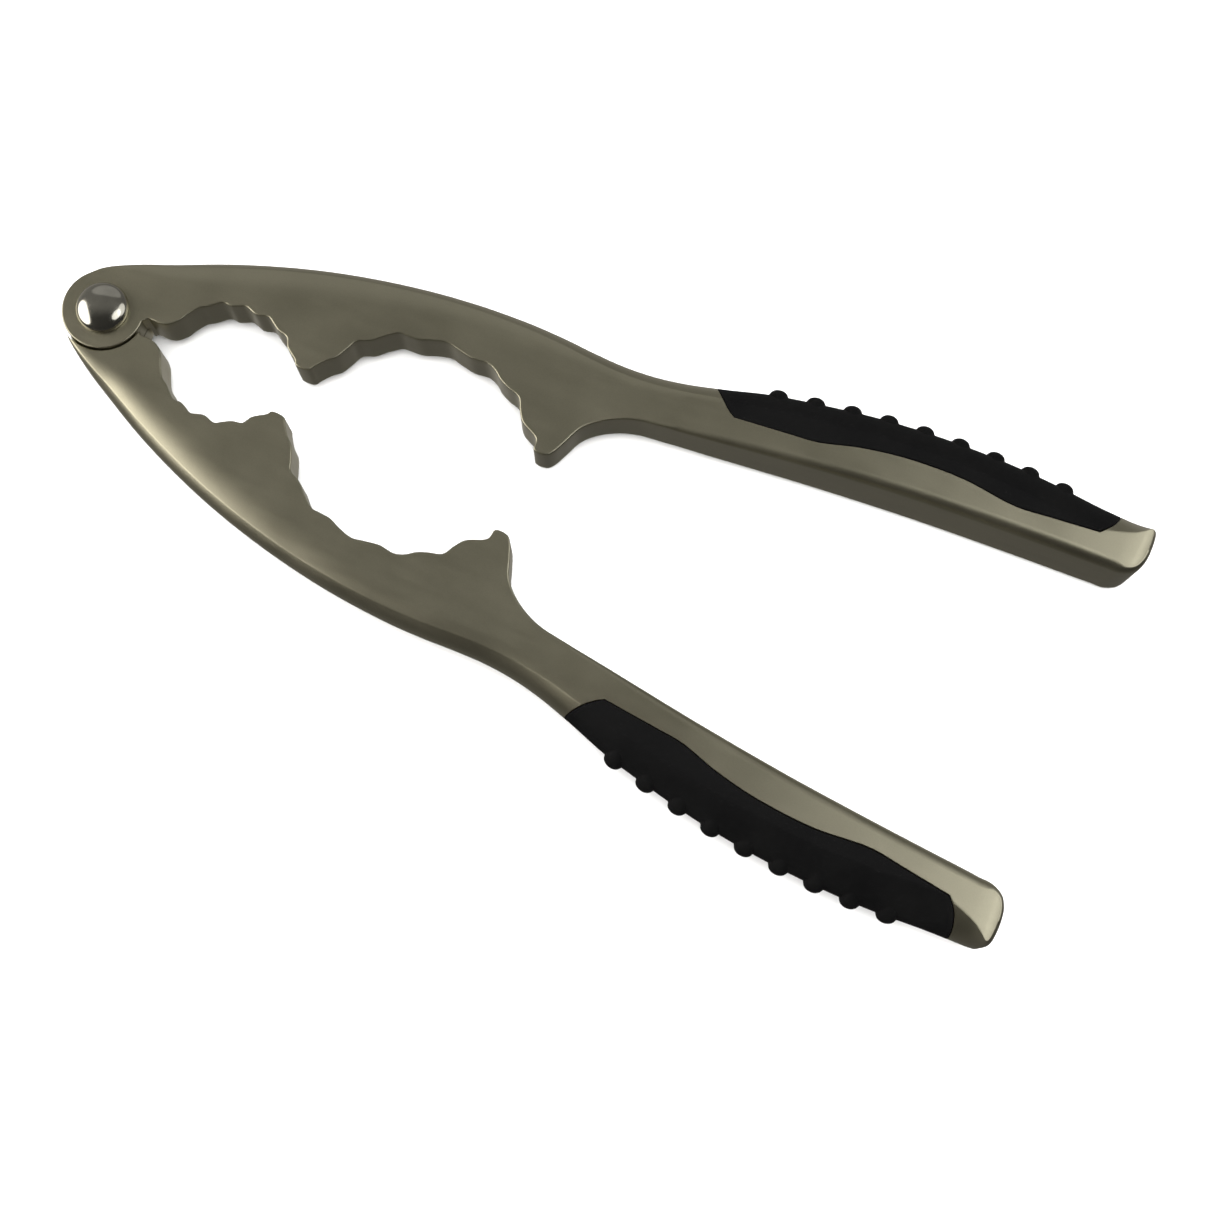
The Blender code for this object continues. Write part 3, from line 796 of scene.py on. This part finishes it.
def add_world():
    """Surroundings that the metal mirrors: dim, darkest a little above the table and in front."""
    world = bpy.data.worlds.new("surroundings")
    bpy.context.scene.world = world
    world.use_nodes = True
    tree = world.node_tree
    spot = tree.nodes.new("ShaderNodeTexCoord")
    split = tree.nodes.new("ShaderNodeSeparateXYZ")
    ramp = tree.nodes.new("ShaderNodeValToRGB")
    lift = tree.nodes.new("ShaderNodeMapRange")
    lift.inputs["From Min"].default_value = -1.0
    tree.links.new(spot.outputs["Generated"], split.inputs["Vector"])
    tree.links.new(split.outputs["Z"], lift.inputs["Value"])
    tree.links.new(lift.outputs["Result"], ramp.inputs["Fac"])
    stops = ramp.color_ramp.elements
    stops[0].position = 0.0
    stops[0].color = (*WORLD_BELOW, 1)
    stops[1].position = 1.0
    stops[1].color = (*WORLD_ABOVE, 1)
    for position, colour in WORLD_BETWEEN:
        stops.new(position).color = (*colour, 1)
    strength = tree.nodes.new("ShaderNodeMath")
    strength.operation = "MULTIPLY"
    for socket, (direction, start, end, low, high) in zip(strength.inputs, WORLD_GAINS):
        toward = tree.nodes.new("ShaderNodeVectorMath")
        toward.operation = "DOT_PRODUCT"
        toward.inputs[1].default_value = direction
        tree.links.new(spot.outputs["Generated"], toward.inputs[0])
        gain = tree.nodes.new("ShaderNodeMapRange")
        gain.interpolation_type = "SMOOTHSTEP"
        gain.inputs["From Min"].default_value = start
        gain.inputs["From Max"].default_value = end
        gain.inputs["To Min"].default_value = low
        gain.inputs["To Max"].default_value = high
        tree.links.new(toward.outputs["Value"], gain.inputs["Value"])
        tree.links.new(gain.outputs["Result"], socket)
    background = tree.nodes["Background"]
    tree.links.new(ramp.outputs["Color"], background.inputs["Color"])
    tree.links.new(strength.outputs["Value"], background.inputs["Strength"])


def add_light(name, width, height, radiance, colour):
    """Oval light; its energy is the radiance times pi times its area."""
    light = bpy.data.lights.new(name, "AREA")
    light.shape = "ELLIPSE"
    light.size = width
    light.size_y = height
    light.energy = radiance * pi * (pi / 4) * width * height
    light.color = colour
    item = new_object(name, light)
    item.rotation_mode = "QUATERNION"
    return item


def add_lights():
    for name, right, back, low, high, width, radiance, aim, colour in PANELS:
        panel = add_light(name, width, high - low, radiance, colour)
        panel.location = STAGE_RIGHT * right + STAGE_BACK * back + Vector((0, 0, (low + high) / 2))
        panel.rotation_quaternion = (Vector(aim) - panel.location).to_track_quat("-Z", "Y")
    fill = add_light("fill", FILL_SIZE, FILL_SIZE, FILL_RADIANCE, NEUTRAL)
    fill.location = FILL_AT
    fill.visible_glossy = False


def add_camera():
    data = bpy.data.cameras.new("camera")
    data.sensor_width = CAMERA_SENSOR
    data.lens = CAMERA_LENS
    data.clip_start = 0.01
    data.clip_end = 20
    camera = new_object("camera", data)
    forward = Vector(CAMERA_FORWARD).normalized()
    right = forward.cross(Vector(CAMERA_UP)).normalized()
    up = right.cross(forward)
    turn = Matrix((right, up, -forward)).transposed()
    camera.matrix_world = Matrix.Translation(CAMERA_AT) @ turn.to_4x4()
    bpy.context.scene.camera = camera


# ---------------------------------------------------------------------------------------------
# Everything together
# ---------------------------------------------------------------------------------------------

def finish_piece(item, material, body, node, turned_over=False):
    """Lifts a piece on to the floor and says what it is in the frame."""
    item.data.materials.append(material)
    item.location = (0, 0, HANDLE_HALF * MM)
    if turned_over:
        item.rotation_euler = (pi, 0, 0)
    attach(item, body)
    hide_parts(node)


def build():
    metal = satin_metal()
    rubber = black_rubber()
    bright = polished_metal()

    upper_lever = make_lever()
    upper_grip = make_grip()
    lower_lever = new_object("lower_lever_metal", upper_lever.data.copy())
    lower_grip = new_object("lower_grip_rubber", upper_grip.data.copy())
    rivet, head = make_rivet()

    finish_piece(upper_lever, metal, "upper_half", "upper_lever")
    finish_piece(upper_grip, rubber, "upper_half", "upper_grip")
    finish_piece(lower_lever, metal, "lower_half", "lower_lever", turned_over=True)
    finish_piece(lower_grip, rubber, "lower_half", "lower_grip", turned_over=True)
    finish_piece(rivet, bright, "lower_half", "pivot_rivet")
    finish_piece(head, bright, "lower_half", "rivet_lower_head")

    add_backdrop()
    add_world()
    add_lights()
    add_camera()
    bpy.context.scene.view_settings.view_transform = "Standard"


build()
